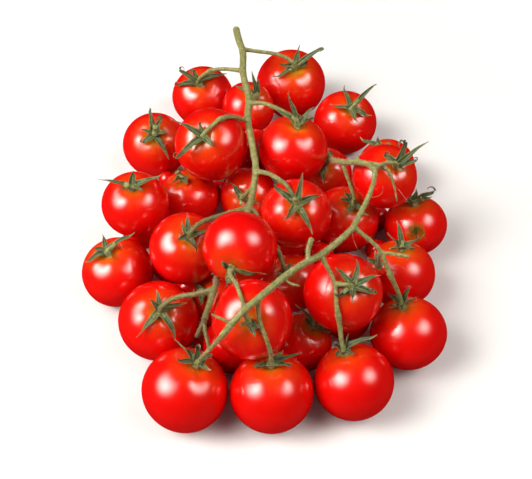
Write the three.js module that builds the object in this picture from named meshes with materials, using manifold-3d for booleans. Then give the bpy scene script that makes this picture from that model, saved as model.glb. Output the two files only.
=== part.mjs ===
// A branched truss of ripe cocktail tomatoes, heaped on a table as cut from the plant.
// Millimetres, +Z up, origin on the table under the middle of the heap.
import * as THREE from 'three';
import { mergeVertices } from 'three/addons/utils/BufferGeometryUtils.js';
import Module from 'manifold-3d';

const wasm = await Module();
wasm.setup();

// The photograph: its size and focal length in pixels, and where the camera stood in millimetres.
const PHOTO = { width: 532, height: 479, focal: 850 };
const CAMERA = { elevation: THREE.MathUtils.degToRad(50), back: 295, height: 381 };

// A fruit is a globe, a little flattened, with a dimple round the stalk.
const FLATTENING = 0.94;
const DIMPLE_DEPTH = 0.13;
const DIMPLE_WIDTH = 0.32;
const FRUIT_MESH = { segments: 12, bands: 8 };
const BURIED_MESH = { segments: 10, bands: 6 };
const LOOSE_MESH = { segments: 8, bands: 5 };

// Fruits lie this far apart at their nearest, and the lowest ones are pressed flat by this much.
const FRUIT_GAP = 0.6;
const FLAT_DEPTH = 0.9;

// Stalks: radii of the main stem, its branches and the fruit stalks, and of the knuckle in a fruit stalk.
const STEM_RADIUS = 2.15;
const STALK_RADIUS = 1.15;
const KNUCKLE_RADIUS = 1.6;
const KNUCKLE_LENGTH = 5;
const KNUCKLE_PLACE = 0.6;
const STALK_FOOT_RADIUS = 1.7;
const STUMP_LENGTH = 4;
const STEM_MESH = { sides: 7, step: 8 };
const STALK_MESH = { sides: 5, step: 5.5 };

// A calyx is a small disc with five or six pointed green sepals.
const DISC_RADIUS = 2.4;
const DISC_CLEARANCE = 0.8;
const SEPAL_WIDTH = 3.8;
const SEPAL_THICKNESS = 0.9;
const SEPAL_FOLD = 0.7;
const SEPAL_LIFT = 1.07;
const SEPAL_STEPS = 4;

// Green pieces keep this far from the fruit skin and from each other.
const CLEARANCE = 0.45;
const JOINT_GAP = 0.6;

// Each fruit: where its centre shows in the photograph, its radius, the height of its centre above the table,
// where the middle of its calyx shows, and where the sepal tips show.
// "stalk" lists where the fruit stalk shows, from the stem to the fruit, with the stem that carries it.
// The last ones fill the dark gaps low in the heap: loose fruits, stalk end away from view.
const FRUITS = {
  '01': { seen: [203, 97], radius: 19.8, height: 20, calyx: [198, 83],
    sepals: [[172, 66], [192, 62], [172, 89], [226, 75], [205, 89]],
    stem: 'stem_upper', stalk: [[240, 69], [224, 69], [210, 71]] },
  '02': { seen: [291, 84], radius: 22.4, height: 22, calyx: [295, 67],
    sepals: [[299, 48], [333, 43], [312, 63], [277, 67], [273, 82]],
    fused: true, stem: 'stem_upper', stalk: [[244, 51], [262, 52], [280, 55]] },
  '03': { seen: [156, 145.5], radius: 19.8, height: 19, calyx: [154, 134],
    sepals: [[149, 101], [168, 109], [139, 130], [139, 149], [170, 159], [169, 134]] },
  '04': { seen: [211, 145], radius: 20.5, height: 50, calyx: [203, 136],
    sepals: [[171, 119], [200, 119], [187, 150], [170, 166], [217, 149]],
    stem: 'stem_upper', stalk: [[248, 121], [236, 121], [220, 123]] },
  '05': { seen: [293, 149], radius: 19.7, height: 46, calyx: [298, 126],
    sepals: [[271, 109], [285, 94], [315, 106], [318, 118], [297, 108]],
    fused: true, stem: 'stem_upper', stalk: [[250, 101], [262, 103], [276, 108]] },
  '06': { seen: [345, 122.5], radius: 19.8, height: 20, calyx: [351, 109],
    sepals: [[342, 88], [377, 82], [371, 118], [357, 124], [329, 108]] },
  '07': { seen: [248, 108], radius: 16.5, height: 16, buried: true, calyx: [256, 97],
    sepals: [[251, 71], [259, 77], [235, 87]],
    fused: true, stem: 'stem_upper', stalk: [[249, 108], [252, 102]] },
  '08': { seen: [384.5, 176.5], radius: 17.6, height: 50, calyx: [396, 166],
    sepals: [[410, 128], [428, 141], [424, 160], [404, 174], [378, 152]],
    fused: true, stem: 'stem_lower', stalk: [[374, 164], [384, 163]] },
  '09': { seen: [415, 225], radius: 17.6, height: 17, calyx: [414, 203],
    sepals: [[417, 188], [446, 192], [432, 199], [399, 188], [403, 203]] },
  '10': { seen: [135.5, 204.5], radius: 18.4, height: 31, calyx: [132, 187],
    sepals: [[98, 181], [134, 171], [165, 178], [144, 194], [121, 190]] },
  '11': { seen: [192, 197.5], radius: 17.7, height: 17, buried: true, calyx: [183, 178],
    sepals: [[176, 172], [172, 184], [190, 186]] },
  '12': { seen: [186, 250], radius: 19, height: 38, calyx: [188, 237],
    sepals: [[188, 214], [209, 231], [198, 254], [176, 240], [181, 222]],
    fused: true, stem: 'stem_upper', stalk: [[248, 209], [228, 213], [213, 218], [200, 223]] },
  '13': { seen: [118, 272], radius: 19.3, height: 19, calyx: [107, 252],
    sepals: [[104, 236], [136, 235], [93, 249], [86, 264], [112, 259]] },
  '14': { seen: [240, 248], radius: 18.6, height: 64, calyx: [231, 268],
    sepals: [[224, 292], [233, 298], [266, 272], [246, 298], [220, 257]],
    fused: true, stem: 'stem_lower', stalk: [[245, 308], [242, 300], [238, 288]] },
  '15': { seen: [296, 214], radius: 18.8, height: 48, calyx: [297, 205],
    sepals: [[267, 181], [302, 173], [321, 194], [313, 234], [284, 221]],
    fused: true, stem: 'stem_upper', stalk: [[256, 168], [270, 174], [286, 186]] },
  '16': { seen: [247, 196], radius: 17, height: 17, buried: true, calyx: [243, 198],
    sepals: [[231, 182], [240, 206], [260, 203]],
    fused: true, stem: 'stem_upper', stalk: [[254, 182], [250, 190]] },
  '17': { seen: [345, 219], radius: 19, height: 30, calyx: [353, 204],
    sepals: [[357, 178], [334, 198], [342, 191], [346, 219], [367, 218]],
    fused: true, stem: 'stem_lower', stalk: [[343, 163], [346, 174], [352, 189]] },
  '18': { seen: [325, 174], radius: 16, height: 16, buried: true, calyx: [324, 168],
    sepals: [[322, 184], [334, 150], [312, 172]],
    fused: true, stem: 'stem_lower', stalk: [[330, 160], [327, 164]] },
  '19': { seen: [399.5, 273.5], radius: 19, height: 19, calyx: [402, 248],
    sepals: [[397, 220], [385, 235], [427, 239], [389, 251], [415, 252]] },
  '20': { seen: [343, 293], radius: 19.6, height: 45, calyx: [352, 286],
    sepals: [[331, 265], [359, 261], [378, 275], [381, 299], [351, 304], [333, 299]],
    fused: true, stem: 'stem_lower', stalk: [[335, 284], [343, 285]] },
  '21': { seen: [408, 333], radius: 19.5, height: 19, calyx: [402, 305],
    sepals: [[411, 286], [418, 300], [386, 294], [390, 311], [405, 315]],
    stem: 'stem_lower', stalk: [[354, 230], [380, 250], [389, 272], [398, 292]] },
  '22': { seen: [160, 320], radius: 20.5, height: 20, calyx: [160, 310],
    sepals: [[157, 290], [186, 303], [178, 340], [138, 338], [148, 300]],
    fused: true, stem: 'stem_upper', stalk: [[215, 289], [196, 294], [174, 298]] },
  '23': { seen: [186, 389.5], radius: 21, height: 21, calyx: [197, 365],
    sepals: [[174, 344], [195, 338], [217, 352], [173, 361], [211, 373]],
    fused: true, stem: 'stem_lower', stalk: [[222, 337], [212, 347], [204, 355]] },
  '24': { seen: [272, 391], radius: 20.4, height: 20, calyx: [271, 365],
    sepals: [[250, 374], [284, 352], [303, 357], [296, 369], [261, 345]],
    fused: true, stem: 'stem_lower', stalk: [[254, 303], [259, 322], [266, 344]] },
  '25': { seen: [352, 382], radius: 19.7, height: 20, calyx: [344, 352],
    sepals: [[328, 343], [378, 338], [350, 334], [334, 358], [356, 357]],
    stem: 'stem_lower', stalk: [[321, 255], [334, 281], [338, 308], [341, 330]] },
  '26': { seen: [252, 320], radius: 19.2, height: 47, calyx: [249, 322],
    sepals: [[238, 326], [264, 328], [256, 337]],
    fused: true, stem: 'stem_lower', stalk: [[243, 311], [246, 317]] },
  '27': { seen: [302, 345], radius: 15, height: 15, buried: true, calyx: [313, 326],
    sepals: [[294, 306], [329, 336], [302, 318], [318, 312]] },
  '28': { seen: [292, 283], radius: 16, height: 16, buried: true, calyx: [286, 272],
    sepals: [[293, 262], [276, 276]],
    fused: true, stem: 'stem_upper', stalk: [[250, 206], [262, 219], [274, 233], [279, 250]] },
  '29': { seen: [205, 300], radius: 14.5, height: 14, buried: true, calyx: [204, 293],
    sepals: [[196, 283], [203, 306], [193, 296]],
    fused: true, stem: 'stem_upper', stalk: [[213, 294], [209, 293]] },
  '30': { seen: [386, 167], radius: 17.3, height: 17, buried: true, calyx: [380, 148],
    sepals: [[377, 136], [358, 141], [395, 148]] },
  '31': { seen: [378.5, 268], radius: 5, height: 26, buried: true, calyx: [379, 266],
    sepals: [[374, 251], [364, 257], [389, 262]],
    fused: true, stem: 'stem_lower', stalk: [[379, 250], [379, 257]] },
  '32': { seen: [232, 345], radius: 15, height: 14, buried: true },
  '33': { seen: [346, 317], radius: 13, height: 12, buried: true },
  '34': { seen: [254, 156], radius: 17, height: 16, buried: true },
  '35': { seen: [197, 161], radius: 10.5, height: 10, buried: true },
  '36': { seen: [286, 238], radius: 15, height: 14, buried: true },
  '37': { seen: [171, 265], radius: 11, height: 10, buried: true },
  '38': { seen: [140, 235], radius: 9.5, height: 9, buried: true },
  '39': { seen: [380, 221], radius: 7.5, height: 7, buried: true },
  '40': { seen: [167, 179], radius: 5, height: 4, buried: true },
  '41': { seen: [188, 287], radius: 7, height: 6, buried: true },
  '42': { seen: [320.5, 255], radius: 7.5, height: 16, buried: true },
  '43': { seen: [203, 339], radius: 5.5, height: 5, buried: true },
  '44': { seen: [376.5, 250], radius: 6.5, height: 6, buried: true },
  '45': { seen: [218, 190], radius: 5.5, height: 5, buried: true },
};

// The stems: where they show in the photograph, with a height where no fruit lies behind them or they run hidden,
// their radius at both ends, a slimmer neck past a fork and how far they stand off the fruits.
const STEMS = {
  stem_upper: {
    radius: STEM_RADIUS,
    tip: STALK_RADIUS,
    lift: 1.5,
    route: [[236, 29, 49], [239, 41, 50], [243, 52, 51], [243, 62, 52], [243, 74, 53], [246, 86], [249, 99],
      [248, 112], [248, 122], [251, 138], [254, 154], [256, 168], [254, 186], [251, 202], [246, 216, 50],
      [236, 240, 46], [224, 266, 44], [216, 285], [211, 300], [206, 314], [203, 324], [197, 336]],
  },
  stem_lower: {
    radius: 1.75,
    tip: 1.65,
    neck: { place: 0.57, reach: 0.08, depth: 0.26 },
    lift: 5,
    route: [[262, 158, 38], [268, 140, 36], [290, 126, 40], [310, 136, 38], [325, 155, 36], [342, 162], [358, 162],
      [371, 165], [375, 172], [373, 184], [369, 196], [361, 212], [353, 228], [340, 240], [321, 255], [303, 264],
      [284, 277], [265, 293], [253, 303], [244, 310], [230, 326], [222, 336]],
  },
};

// Side stubs of the stems: the stump of the stem past its fork, cut stalks and withered shoots.
const STUBS = [
  { stem: 'stem_lower', radius: 1.6, tip: 0.4, route: [[371, 164], [386, 168], [393, 181], [397, 202]] },
  { stem: 'stem_lower', radius: 1.2, tip: 1.5, route: [[303, 263], [308, 250], [312, 238]] },
  { stem: 'stem_lower', radius: 0.9, tip: 1.15, route: [[381, 251], [394, 254], [409, 257]] },
  { stem: 'stem_lower', radius: 1.0, tip: 0.6, route: [[359, 162], [359, 155]] },
  { stem: 'stem_lower', radius: 0.9, tip: 0.6, route: [[230, 325], [222, 319], [211, 314]] },
  { stem: 'stem_lower', radius: 0.8, tip: 0.6, route: [[283, 278], [291, 284], [300, 286]] },
  { stem: 'stem_upper', radius: 1.0, tip: 0.9, route: [[204, 321], [206, 334], [209, 347]] },
];

// Lines of sight of the photograph.
const SIGHT_FORWARD = new THREE.Vector3(0, Math.cos(CAMERA.elevation), -Math.sin(CAMERA.elevation));
const SIGHT_UP = new THREE.Vector3(0, Math.sin(CAMERA.elevation), Math.cos(CAMERA.elevation));
const EYE = new THREE.Vector3(0, -CAMERA.back, CAMERA.height);

function sightLine([column, row]) {
  const across = (column - PHOTO.width / 2) / PHOTO.focal;
  const upwards = (PHOTO.height / 2 - row) / PHOTO.focal;
  const direction = SIGHT_FORWARD.clone().addScaledVector(SIGHT_UP, upwards);
  direction.x += across;
  return new THREE.Ray(EYE.clone(), direction.normalize());
}

function seenAtHeight([column, row, height]) {
  const line = sightLine([column, row]);
  return line.at((height - EYE.z) / line.direction.z, new THREE.Vector3());
}

function nearest(line, point) {
  return line.closestPointToPoint(point, new THREE.Vector3());
}

// Distance from a fruit's centre to its skin, by the angle from its stalk.
function skinReach(radius, cosAngle) {
  const sinSquared = 1 - cosAngle * cosAngle;
  const globe = radius / Math.sqrt(sinSquared + (cosAngle / FLATTENING) ** 2);
  const dimple = cosAngle > 0 ? DIMPLE_DEPTH * Math.exp(-sinSquared / DIMPLE_WIDTH ** 2) : 0;
  return globe * (1 - dimple);
}

const fruits = Object.entries(FRUITS).map(([number, fruit]) => ({
  ...fruit,
  number,
  centre: seenAtHeight([...fruit.seen, fruit.height]),
  line: sightLine(fruit.seen),
}));

function aimCalyx(fruit) {
  if (!fruit.calyx) {
    fruit.axis = fruit.line.direction.clone().setZ(0).normalize();
    return;
  }
  const line = sightLine(fruit.calyx);
  const disc = new THREE.Sphere(fruit.centre, fruit.radius * 0.9);
  const spot = line.intersectSphere(disc, new THREE.Vector3()) ?? nearest(line, fruit.centre);
  fruit.axis = spot.sub(fruit.centre).normalize();
}

// The heap settles: fruits push apart where they meet, stand on the table and keep to their line of sight.
// The ones buried in the heap give way to the ones in view.
const SETTLING_ROUNDS = 1500;
const LAST_ROUNDS = 300;
const SLIDE = 0.004;
const KEEP_TO_SIGHT = 0.03;
const PUSH = 0.6;

function pushApart(a, b) {
  const between = b.centre.clone().sub(a.centre);
  const distance = between.length();
  between.divideScalar(distance);
  const room = skinReach(a.radius, between.dot(a.axis)) + skinReach(b.radius, -between.dot(b.axis)) + FRUIT_GAP;
  if (distance >= room) return;
  const shareOfA = (a.buried ? 9 : 1) / ((a.buried ? 9 : 1) + (b.buried ? 9 : 1));
  a.centre.addScaledVector(between, (distance - room) * PUSH * shareOfA);
  b.centre.addScaledVector(between, (room - distance) * PUSH * (1 - shareOfA));
}

function standOnTable(fruit) {
  const tilt = fruit.axis.z ** 2;
  const below = fruit.radius * Math.sqrt(1 - tilt + tilt * FLATTENING ** 2);
  fruit.centre.z = Math.max(fruit.centre.z, below - FLAT_DEPTH);
}

fruits.forEach(aimCalyx);
for (let round = 0; round < SETTLING_ROUNDS; round++) {
  const settling = round < SETTLING_ROUNDS - LAST_ROUNDS;
  fruits.forEach((a, i) => fruits.slice(i + 1).forEach((b) => pushApart(a, b)));
  for (const fruit of fruits) {
    if (settling) {
      fruit.centre.addScaledVector(fruit.line.direction, SLIDE);
      fruit.centre.lerp(nearest(fruit.line, fruit.centre), KEEP_TO_SIGHT);
    }
    standOnTable(fruit);
  }
}
fruits.forEach(aimCalyx);

// Solids from meshes, and back.
function solidOf(geometry) {
  const bare = geometry.clone();
  bare.deleteAttribute('normal');
  bare.deleteAttribute('uv');
  const merged = mergeVertices(bare, 1e-3);
  return new wasm.Manifold(new wasm.Mesh({
    numProp: 3,
    vertProperties: merged.attributes.position.array,
    triVerts: new Uint32Array(merged.index.array),
  }));
}

function geometryOf(solid) {
  const { vertProperties, triVerts } = solid.getMesh();
  const geometry = new THREE.BufferGeometry();
  geometry.setAttribute('position', new THREE.BufferAttribute(vertProperties, 3));
  geometry.setIndex(new THREE.BufferAttribute(triVerts, 1));
  return geometry;
}

function fuse(solids) {
  return solids.reduce((whole, solid) => whole.add(solid));
}

// What a green piece keeps clear of: every fruit, and the strands of the other green pieces.
const strands = [];

function clearOfFruits(point, margin) {
  for (const fruit of fruits) {
    const outward = point.clone().sub(fruit.centre);
    const distance = outward.length();
    outward.divideScalar(distance);
    const room = skinReach(fruit.radius, outward.dot(fruit.axis)) + margin;
    if (distance < room) point.addScaledVector(outward, room - distance);
  }
}

function clearOfStrands(point, margin, owner) {
  for (const strand of strands) {
    if (strand.owner === owner) continue;
    for (let i = 1; i < strand.points.length; i++) {
      const piece = new THREE.Line3(strand.points[i - 1], strand.points[i]);
      const outward = point.clone().sub(piece.closestPointToPoint(point, true, new THREE.Vector3()));
      const distance = outward.length();
      const room = strand.radius + margin;
      if (distance < room && distance > 1e-6) point.addScaledVector(outward, (room - distance) / distance);
    }
  }
}

function keepClear(point, margin, owner) {
  for (let pass = 0; pass < 6; pass++) {
    clearOfStrands(point, margin, owner);
    clearOfFruits(point, margin);
  }
  return point;
}

// A round stalk along a run of points, its radius given along its length from 0 to 1.
function stalkSolid(points, { sides, step: stepLength }, radiusAt) {
  const curve = new THREE.CatmullRomCurve3(points);
  const steps = Math.max(2, Math.round(curve.getLength() / stepLength));
  const frames = curve.computeFrenetFrames(steps);
  const tube = new THREE.CylinderGeometry(1, 1, 1, sides, steps);
  const place = tube.attributes.position;
  for (let i = 0; i < place.count; i++) {
    const along = place.getY(i) + 0.5;
    const step = Math.round(along * steps);
    const spot = curve.getPointAt(along);
    spot.addScaledVector(frames.binormals[step], place.getX(i) * radiusAt(along));
    spot.addScaledVector(frames.normals[step], place.getZ(i) * radiusAt(along));
    place.setXYZ(i, spot.x, spot.y, spot.z);
  }
  return solidOf(tube);
}

// Where a stem lies in the heap: on the near side of the fruits behind it, taut between them.
function stemPoints({ route, radius, lift }) {
  const reaches = route.map((stop) => {
    const line = sightLine(stop);
    if (stop.length === 3) return (stop[2] - EYE.z) / line.direction.z;
    const touches = fruits.map((fruit) => {
      const skin = new THREE.Sphere(fruit.centre, fruit.radius + radius + lift);
      const touch = line.intersectSphere(skin, new THREE.Vector3());
      return touch ? touch.distanceTo(EYE) : Infinity;
    });
    return Math.min(600, ...touches);
  });
  for (let pass = 0; pass < 200; pass++) {
    for (let i = 1; i < route.length - 1; i++) {
      if (route[i].length === 2) reaches[i] = Math.min(reaches[i], (reaches[i - 1] + reaches[i + 1]) / 2);
    }
  }
  const bends = route.map((stop, i) => sightLine(stop).at(reaches[i], new THREE.Vector3()));
  const curve = new THREE.CatmullRomCurve3(bends);
  const points = curve.getSpacedPoints(Math.round(curve.getLength() / STEM_MESH.step));
  points.forEach((point) => clearOfFruits(point, radius + CLEARANCE));
  return points;
}

// The stems, their side stubs and the fruit stalks up to the knuckle.
function stemRadius({ radius, tip, neck }, along) {
  const plain = radius + (tip - radius) * along;
  if (!neck) return plain;
  return plain * (1 - neck.depth * Math.exp(-(((along - neck.place) / neck.reach) ** 2)));
}

const stems = {};
for (const [name, stem] of Object.entries(STEMS)) {
  const points = stemPoints(stem);
  strands.push({ owner: name, points, radius: stem.radius });
  stems[name] = { strands: [points], solids: [stalkSolid(points, STEM_MESH, (along) => stemRadius(stem, along))] };
}

function rootOnStem(name, pixel) {
  const line = sightLine(pixel);
  const points = stems[name].strands.flat();
  const miss = (point) => line.distanceToPoint(point);
  return points.reduce((best, point) => (miss(point) < miss(best) ? point : best)).clone();
}

function addStub({ stem, radius, tip, route }) {
  const root = rootOnStem(stem, route[0]);
  const away = route.slice(1).map((pixel) => nearest(sightLine(pixel), root));
  const points = new THREE.CatmullRomCurve3([root, ...away]).getSpacedPoints(route.length * 3);
  points.slice(1).forEach((point) => clearOfFruits(point, radius + CLEARANCE));
  strands.push({ owner: stem, points, radius });
  stems[stem].solids.push(stalkSolid(points, STALK_MESH, (along) => radius + (tip - radius) * along));
}

function discOf(fruit) {
  const reach = skinReach(fruit.radius, 1) + DISC_CLEARANCE;
  return fruit.centre.clone().addScaledVector(fruit.axis, reach);
}

// A fruit stalk as a run of points from its stem to the middle of its calyx.
function fruitStalk(fruit) {
  const disc = discOf(fruit);
  const lifted = disc.clone().addScaledVector(fruit.axis, STUMP_LENGTH);
  if (!fruit.stalk) return [lifted, disc];
  const root = rootOnStem(fruit.stem, fruit.stalk[0]);
  const bends = fruit.stalk.slice(1).map((pixel, i) => {
    const share = (i + 1) / fruit.stalk.length;
    const reach = THREE.MathUtils.lerp(root.distanceTo(EYE), lifted.distanceTo(EYE), share);
    return sightLine(pixel).at(reach, new THREE.Vector3());
  });
  const curve = new THREE.CatmullRomCurve3([root, ...bends, lifted, disc]);
  const points = curve.getSpacedPoints(Math.max(4, Math.round(curve.getLength() / 3)));
  const free = STEM_RADIUS + STALK_RADIUS + 1;
  points.slice(1, -2).forEach((point) => {
    const owner = point.distanceTo(root) < free ? fruit.stem : null;
    keepClear(point, STALK_RADIUS + CLEARANCE, owner);
  });
  return points;
}

function part(points, from, to) {
  const curve = new THREE.CatmullRomCurve3(points);
  const count = Math.max(3, Math.round(curve.getLength() * (to - from) / 3));
  return Array.from({ length: count + 1 }, (_, i) => curve.getPointAt(from + (to - from) * i / count));
}

function swelling(fromEnd) {
  return (KNUCKLE_RADIUS - STALK_RADIUS) * Math.exp(-((fromEnd / (KNUCKLE_LENGTH / 2)) ** 2));
}

function flare(fromDisc) {
  return (DISC_RADIUS - STALK_RADIUS) * Math.exp(-((fromDisc / 1.4) ** 2));
}

// The stalks that fork off another fruit's stalk come after it.
const bendsIn = (fruit) => fruit.stalk?.length ?? 0;
const withCalyx = fruits.filter((fruit) => fruit.calyx);
for (const fruit of [...withCalyx].sort((a, b) => bendsIn(b) - bendsIn(a))) {
  const points = fruitStalk(fruit);
  const length = new THREE.CatmullRomCurve3(points).getLength();
  const owner = fruit.fused ? fruit.stem : `calyx_${fruit.number}`;
  const split = fruit.stalk && !fruit.fused ? KNUCKLE_PLACE : 0;
  if (split) {
    const lower = part(points, 0, split);
    const lowerLength = length * split;
    stems[fruit.stem].strands.push(lower);
    stems[fruit.stem].solids.push(stalkSolid(lower, STALK_MESH, (along) => STALK_RADIUS
      + swelling((1 - along) * lowerLength)
      + (STALK_FOOT_RADIUS - STALK_RADIUS) * Math.exp(-along * lowerLength / 3)));
    strands.push({ owner: fruit.stem, points: lower, radius: STALK_RADIUS });
  }
  const start = split ? split + JOINT_GAP / length : 0;
  const upper = part(points, start, 1);
  const upperLength = length * (1 - start);
  fruit.stalkSolid = stalkSolid(upper, STALK_MESH, (along) => STALK_RADIUS + swelling(along * upperLength)
    + flare((1 - along) * upperLength));
  strands.push({ owner, points: upper, radius: STALK_RADIUS });
}

STUBS.forEach(addStub);

// A sepal is a narrow pointed blade, folded along its midrib, that arches over the shoulder of the fruit.
function sepalSolid(fruit, tipPixel, owner) {
  const disc = discOf(fruit).addScaledVector(fruit.axis, 0.8);
  const line = sightLine(tipPixel);
  const skin = new THREE.Sphere(fruit.centre, fruit.radius * SEPAL_LIFT + CLEARANCE);
  const tip = line.intersectSphere(skin, new THREE.Vector3()) ?? nearest(line, disc);
  const outwards = tip.clone().sub(disc).projectOnPlane(fruit.axis).normalize();
  const root = disc.clone().addScaledVector(outwards, DISC_RADIUS * 0.4);
  const length = tip.distanceTo(root);
  const arch = root.clone().lerp(tip, 0.45).addScaledVector(fruit.axis, length * 0.22);
  const curve = new THREE.QuadraticBezierCurve3(root, arch, tip);
  const rib = curve.getSpacedPoints(SEPAL_STEPS);
  rib.forEach((point, i) => {
    if (i) keepClear(point, SEPAL_THICKNESS / 2 + CLEARANCE, owner);
  });
  const blade = new THREE.ConeGeometry(1, 1, 4, SEPAL_STEPS);
  const place = blade.attributes.position;
  for (let i = 0; i < place.count; i++) {
    const along = place.getY(i) + 0.5;
    const step = Math.round(along * SEPAL_STEPS);
    const across = step < SEPAL_STEPS ? place.getX(i) / (1 - along) : 0;
    const through = step < SEPAL_STEPS ? place.getZ(i) / (1 - along) : 0;
    const ahead = rib[Math.min(step + 1, SEPAL_STEPS)].clone().sub(rib[Math.max(step - 1, 0)]).normalize();
    const outward = rib[step].clone().sub(fruit.centre);
    outward.addScaledVector(ahead, -outward.dot(ahead)).normalize();
    const sideways = ahead.clone().cross(outward);
    const halfWidth = SEPAL_WIDTH / 2 * (1 - along) ** 0.8 * (0.5 + 1.5 * along);
    const spot = rib[step].clone().addScaledVector(sideways, across * halfWidth);
    const rise = Math.abs(across) * halfWidth * SEPAL_FOLD / 2 + through * SEPAL_THICKNESS / 2 * (1 - along * 0.5);
    spot.addScaledVector(outward, rise);
    if (step > 0) keepClear(spot, CLEARANCE * 0.8, owner);
    place.setXYZ(i, spot.x, spot.y, spot.z);
  }
  strands.push({ owner, points: rib, radius: SEPAL_WIDTH / 4 });
  return solidOf(blade);
}

const SKIN = { color: 0xd81408, roughness: 0.2, metalness: 0 };
const LEAF_GREEN = { color: 0x6f7d46, roughness: 0.7, metalness: 0 };
const STALK_GREEN = { color: 0xa0a268, roughness: 0.65, metalness: 0 };

const truss = new THREE.Group();

function addPiece(name, geometry, finish) {
  const mesh = new THREE.Mesh(geometry, new THREE.MeshStandardMaterial(finish));
  mesh.name = name;
  truss.add(mesh);
  return mesh;
}

function fruitSolid(fruit) {
  const coarse = fruit.calyx ? BURIED_MESH : LOOSE_MESH;
  const { segments, bands } = fruit.buried ? coarse : FRUIT_MESH;
  const profile = [];
  for (let i = 0; i <= bands; i++) {
    const angle = Math.PI * (1 - i / bands);
    const reach = skinReach(fruit.radius, Math.cos(angle));
    profile.push(new THREE.Vector2(i % bands ? reach * Math.sin(angle) : 0, reach * Math.cos(angle)));
  }
  const body = new THREE.LatheGeometry(profile, segments);
  body.applyQuaternion(new THREE.Quaternion().setFromUnitVectors(new THREE.Vector3(0, 1, 0), fruit.axis));
  body.translate(fruit.centre.x, fruit.centre.y, fruit.centre.z);
  return solidOf(body);
}

const table = solidOf(new THREE.BoxGeometry(600, 600, 100).translate(0, 0, -50));
for (const fruit of fruits) {
  addPiece(`fruit_${fruit.number}`, geometryOf(fruitSolid(fruit).subtract(table)), SKIN);
}

for (const fruit of withCalyx) {
  const owner = fruit.fused ? fruit.stem : `calyx_${fruit.number}`;
  const calyx = [fruit.stalkSolid, ...fruit.sepals.map((tip) => sepalSolid(fruit, tip, owner))];
  if (fruit.fused) stems[fruit.stem].solids.push(...calyx);
  else addPiece(owner, geometryOf(fuse(calyx)), LEAF_GREEN);
}

for (const [name, stem] of Object.entries(stems)) {
  addPiece(name, geometryOf(fuse(stem.solids)), STALK_GREEN);
}

// The origin is on the table under the middle of the heap.
const box = new THREE.Box3().setFromObject(truss);
const middle = box.getCenter(new THREE.Vector3());
truss.children.forEach((mesh) => mesh.position.set(-middle.x, -middle.y, -box.min.z));

export default truss;
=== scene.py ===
import math
import random

import bmesh
import bpy
from mathutils import Matrix, Vector, noise


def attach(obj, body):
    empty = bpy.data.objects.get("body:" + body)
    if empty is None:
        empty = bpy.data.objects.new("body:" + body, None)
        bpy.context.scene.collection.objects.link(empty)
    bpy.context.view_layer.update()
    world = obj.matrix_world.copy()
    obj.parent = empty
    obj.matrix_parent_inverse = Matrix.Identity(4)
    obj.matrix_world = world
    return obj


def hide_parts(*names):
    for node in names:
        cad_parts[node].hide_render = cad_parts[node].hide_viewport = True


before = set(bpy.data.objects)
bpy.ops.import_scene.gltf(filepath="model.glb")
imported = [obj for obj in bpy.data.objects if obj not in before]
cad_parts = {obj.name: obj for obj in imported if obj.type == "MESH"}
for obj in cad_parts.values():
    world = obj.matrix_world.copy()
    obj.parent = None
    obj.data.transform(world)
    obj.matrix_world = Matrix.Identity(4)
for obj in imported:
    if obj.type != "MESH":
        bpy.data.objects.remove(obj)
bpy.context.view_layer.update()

# The studio is a sheet of matt white board under the truss, lit by a large soft lamp on the left, a
# smaller and weaker one on the right and an even pale room. The board carries painted light: on the
# fruit it shows as a painted dark red reflection, the light it bounces up is a dimmer, pinker painted
# shade, and away from the heap it glows to pure white for the camera, a painted glow that washes out
# its shadows. None of it is part of the truss.
BOARD_HALF_WIDTH = 3.0
BOARD_DROP = 0.0002
BOARD_WHITE = (0.9, 0.9, 0.9, 1)
# Painted reflection and painted shade: in reflections the board shows dark red, and to bounced light it is a
# dimmer pink.
BOARD_PAINTED_REFLECTION = (0.40, 0.015, 0.012, 1)
BOARD_PAINTED_BOUNCE_SHADE = (0.50, 0.32, 0.31, 1)
# Painted glow: for the camera the board emits white light that rises away from the heap and washes out its
# shadows.
BOARD_GLOW_FROM = 0.17
BOARD_GLOW_FULL = 0.55
BOARD_GLOW = 0.85
LAMP_REACH = 0.9
LAMP_TARGET = Vector((0, 0, 0.04))
LEFT_LAMP = {"from": (-0.69, -0.19, 0.705), "size": 1.25, "power": 15.5, "spread": 84}
RIGHT_LAMP = {"from": (0.61, -0.16, 0.766), "size": 1.0, "power": 4.4, "spread": 74}
LAMP_WHITE = (1.0, 0.96, 0.91)
ROOM_ABOVE = 0.11
ROOM_BELOW = 0.04
GLOSS_ABOVE = 0.012
GLOSS_BELOW = 0.03
CAMERA_PLACE = (-0.00169, -0.32294, 0.381)
CAMERA_TILT = math.radians(40)
CAMERA_SENSOR = 36.0
PHOTO_FOCAL = 850
PHOTO_MIDDLE = (266, 239.5)
CAMERA_LENS = CAMERA_SENSOR * PHOTO_FOCAL / (2 * PHOTO_MIDDLE[0])


def wire(tree, kind, sockets=None, **settings):
    made = tree.nodes.new("ShaderNode" + kind)
    for key, value in settings.items():
        setattr(made, key, value)
    for key, value in (sockets or {}).items():
        if isinstance(value, bpy.types.NodeSocket):
            tree.links.new(value, made.inputs[key])
        else:
            made.inputs[key].default_value = value
    return made


def new_finish(name):
    finish = bpy.data.materials.new(name)
    finish.use_nodes = True
    shader = finish.node_tree.nodes["Principled BSDF"]
    return finish, finish.node_tree, shader


def place(name, mesh):
    made = bpy.data.objects.new(name, mesh)
    bpy.context.scene.collection.objects.link(made)
    return made


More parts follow.
